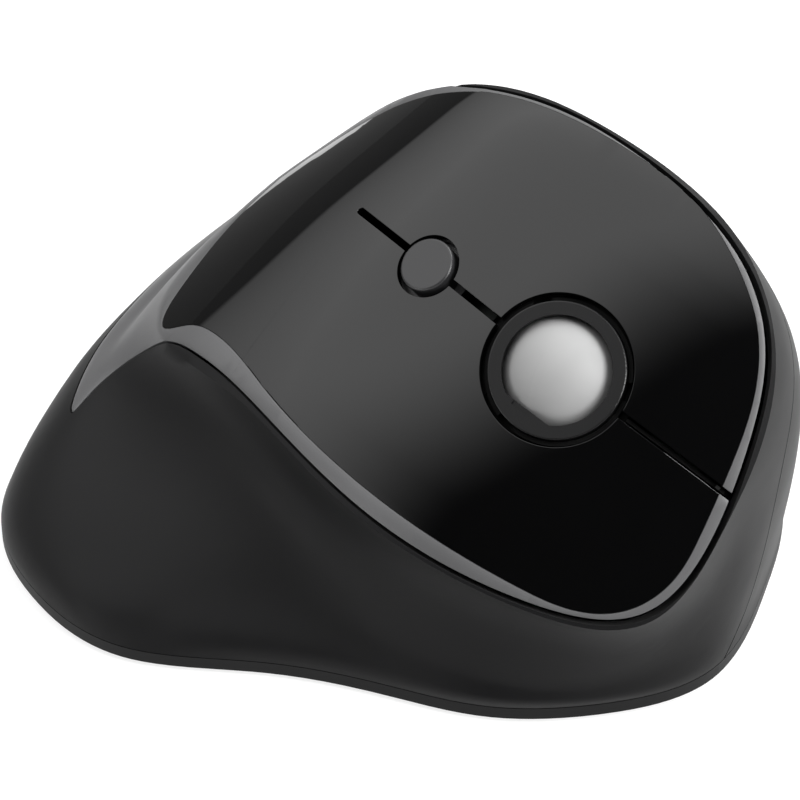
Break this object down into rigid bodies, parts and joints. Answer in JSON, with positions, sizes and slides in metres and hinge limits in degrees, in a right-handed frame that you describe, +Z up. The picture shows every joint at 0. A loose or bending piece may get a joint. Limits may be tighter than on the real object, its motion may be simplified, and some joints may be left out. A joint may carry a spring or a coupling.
{
  "type": "trackball mouse",
  "caption": "Right-handed vertical trackball mouse with a finger ball in a sloping glossy top, split finger buttons, thumb keys, battery bay and stored wireless receiver.",
  "frame": {"origin": "on the table, under the middle of the body's outline", "axes": "+X to the user's right, +Y forward, +Z up"},
  "size_m": [0.106, 0.1216, 0.0701],
  "materials": {
    "base_black": "matte, fine grain",
    "shell_black": "matte, soft-touch, very fine grain",
    "gloss_black": "piano gloss, clear and smooth",
    "satin_trim": "satin, very fine grain",
    "key_black": "smooth satin-gloss",
    "switch_body": "as moulded",
    "ring_satin": "satin dark",
    "ball_grey": "matte pearl, faintly speckled",
    "cup_plastic": "as moulded",
    "bearing": "polished",
    "sensor": "solder mask and clear lens",
    "inner_plastic": "as moulded",
    "board_green": "solder mask",
    "battery_sleeve": "plain sleeve",
    "contact_steel": "bright nickel",
    "receiver": "smooth",
    "feet": "smooth low-friction pad",
    "screw_steel": "zinc"
  },
  "bodies": {
    "housing": {"base_plate": "base_black", "main_shell": "shell_black", "thumb_shell": "shell_black", "palm_cover": "gloss_black", "palm_trim": "satin_trim", "dpi_switch": "switch_body", "ball_cup": "cup_plastic", "ball_bearings": "bearing", "sensor_board": "sensor", "inner_frame": "inner_plastic", "button_board": "board_green", "left_switch": "switch_body", "right_switch": "switch_body", "slot_rib": "inner_plastic", "thumb_switch_back": "switch_body", "thumb_switch_forward": "switch_body", "main_board": "board_green", "battery": "battery_sleeve", "battery_contacts": "contact_steel", "rubber_feet": "feet", "screws": "screw_steel"},
    "left_button": {"left_button": "gloss_black", "left_button_trim": "satin_trim"},
    "right_button": {"right_button": "gloss_black", "right_button_trim": "satin_trim"},
    "dpi_button": {"dpi_button": "key_black"},
    "retaining_ring": {"retaining_ring": "ring_satin"},
    "trackball": {"trackball": "ball_grey"},
    "thumb_button_back": {"thumb_button_back": "key_black"},
    "thumb_button_forward": {"thumb_button_forward": "key_black"},
    "battery_door": {"battery_door": "base_black"},
    "power_switch": {"power_switch": "key_black"},
    "usb_receiver": {"usb_receiver": "receiver"}
  },
  "joints": [
    {"name": "left_button_press", "type": "hinge", "parent": "housing", "child": "left_button", "pos_m": [-0.00577, -0.00977, 0.04961], "axis": [-0.8283, 0.2364, 0.508], "range_deg": [0, 0.9], "stiffness_Nm_per_rad": 2, "springref_deg": -0.57},
    {"name": "right_button_press", "type": "hinge", "parent": "housing", "child": "right_button", "pos_m": [-0.00577, -0.00977, 0.04961], "axis": [-0.8283, 0.2364, 0.508], "range_deg": [0, 0.9], "stiffness_Nm_per_rad": 2, "springref_deg": -0.57},
    {"name": "dpi_button_press", "type": "slide", "parent": "housing", "child": "dpi_button", "axis": [-0.5567, 0.1022, -0.8244], "range_m": [0, 0.0008], "stiffness_N_per_m": 600, "springref_m": -0.0005},
    {"name": "ring_twist", "type": "hinge", "parent": "housing", "child": "retaining_ring", "pos_m": [0.00116, 0.02841, 0.04412], "axis": [0.632, 0.2369, 0.7378], "range_deg": [0, 20]},
    {"name": "ball_roll", "type": "hinge", "parent": "housing", "child": "trackball", "pos_m": [0.00116, 0.02841, 0.04412], "axis": [0.7749, -0.1932, -0.6018], "continuous": true},
    {"name": "thumb_back_press", "type": "slide", "parent": "housing", "child": "thumb_button_back", "axis": [0.9543, -0.1695, -0.246], "range_m": [0, 0.0006], "stiffness_N_per_m": 600, "springref_m": -0.0005},
    {"name": "thumb_forward_press", "type": "slide", "parent": "housing", "child": "thumb_button_forward", "axis": [0.9343, -0.0404, -0.3541], "range_m": [0, 0.0006], "stiffness_N_per_m": 600, "springref_m": -0.0005},
    {"name": "battery_door_swing", "type": "hinge", "parent": "housing", "child": "battery_door", "pos_m": [-0.029, 0.0234, 0.0009], "axis": [1, 0, 0], "range_deg": [0, 75]},
    {"name": "power_switch_slide", "type": "slide", "parent": "housing", "child": "power_switch", "axis": [0, 1, 0], "range_m": [0, 0.003]},
    {"name": "receiver_pull", "type": "slide", "parent": "housing", "child": "usb_receiver", "axis": [0, 0, -1], "range_m": [0, 0.014]}
  ]
}
